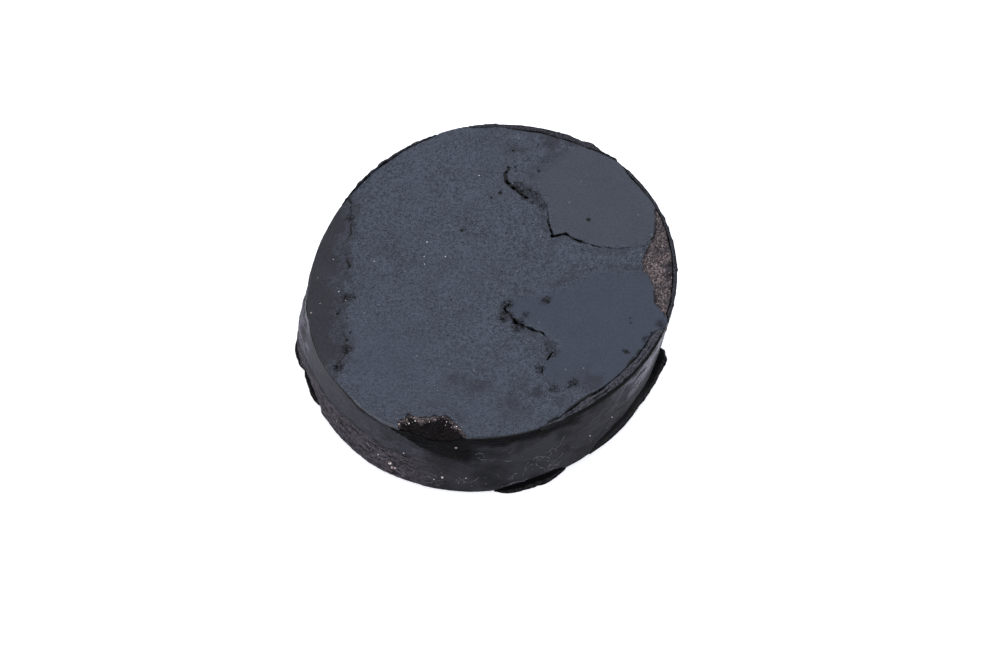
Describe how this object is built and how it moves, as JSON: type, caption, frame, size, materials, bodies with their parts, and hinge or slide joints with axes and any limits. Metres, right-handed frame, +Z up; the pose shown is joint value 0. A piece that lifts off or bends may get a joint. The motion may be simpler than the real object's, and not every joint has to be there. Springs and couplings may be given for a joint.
{
  "type": "pressed charcoal cake",
  "caption": "Squat round cake of pressed charcoal with smeared top skins, open cracks, a chipped rim and thin ragged flash round its edges.",
  "frame": {"origin": "centre of the flat base that the cake stands on", "axes": "+Z up out of the top face, +X to the right and +Y to the back as the object is pictured"},
  "size_m": [0.0422, 0.0414, 0.0115],
  "materials": {
    "core": "matt and gritty, brown-black",
    "side_skin": "burnished, half matt",
    "top_main": "fine grain, half matt",
    "top_lobe": "smeared smooth, half matt",
    "top_facet": "smooth, half matt",
    "rim_flash": "matt black",
    "foot_flash": "matt black, torn edge"
  },
  "bodies": {
    "root": {"core": "core", "side_skin": "side_skin", "top_main": "top_main", "top_lobe_rear": "top_lobe", "top_lobe_front": "top_lobe", "top_facet_left": "top_facet", "rim_flash_back_left": "rim_flash", "rim_flash_rear": "rim_flash", "rim_flash_right": "rim_flash", "rim_rib_front": "rim_flash", "foot_flash_right": "foot_flash", "foot_flash_left": "foot_flash", "foot_flash_front": "foot_flash"}
  },
  "joints": []
}
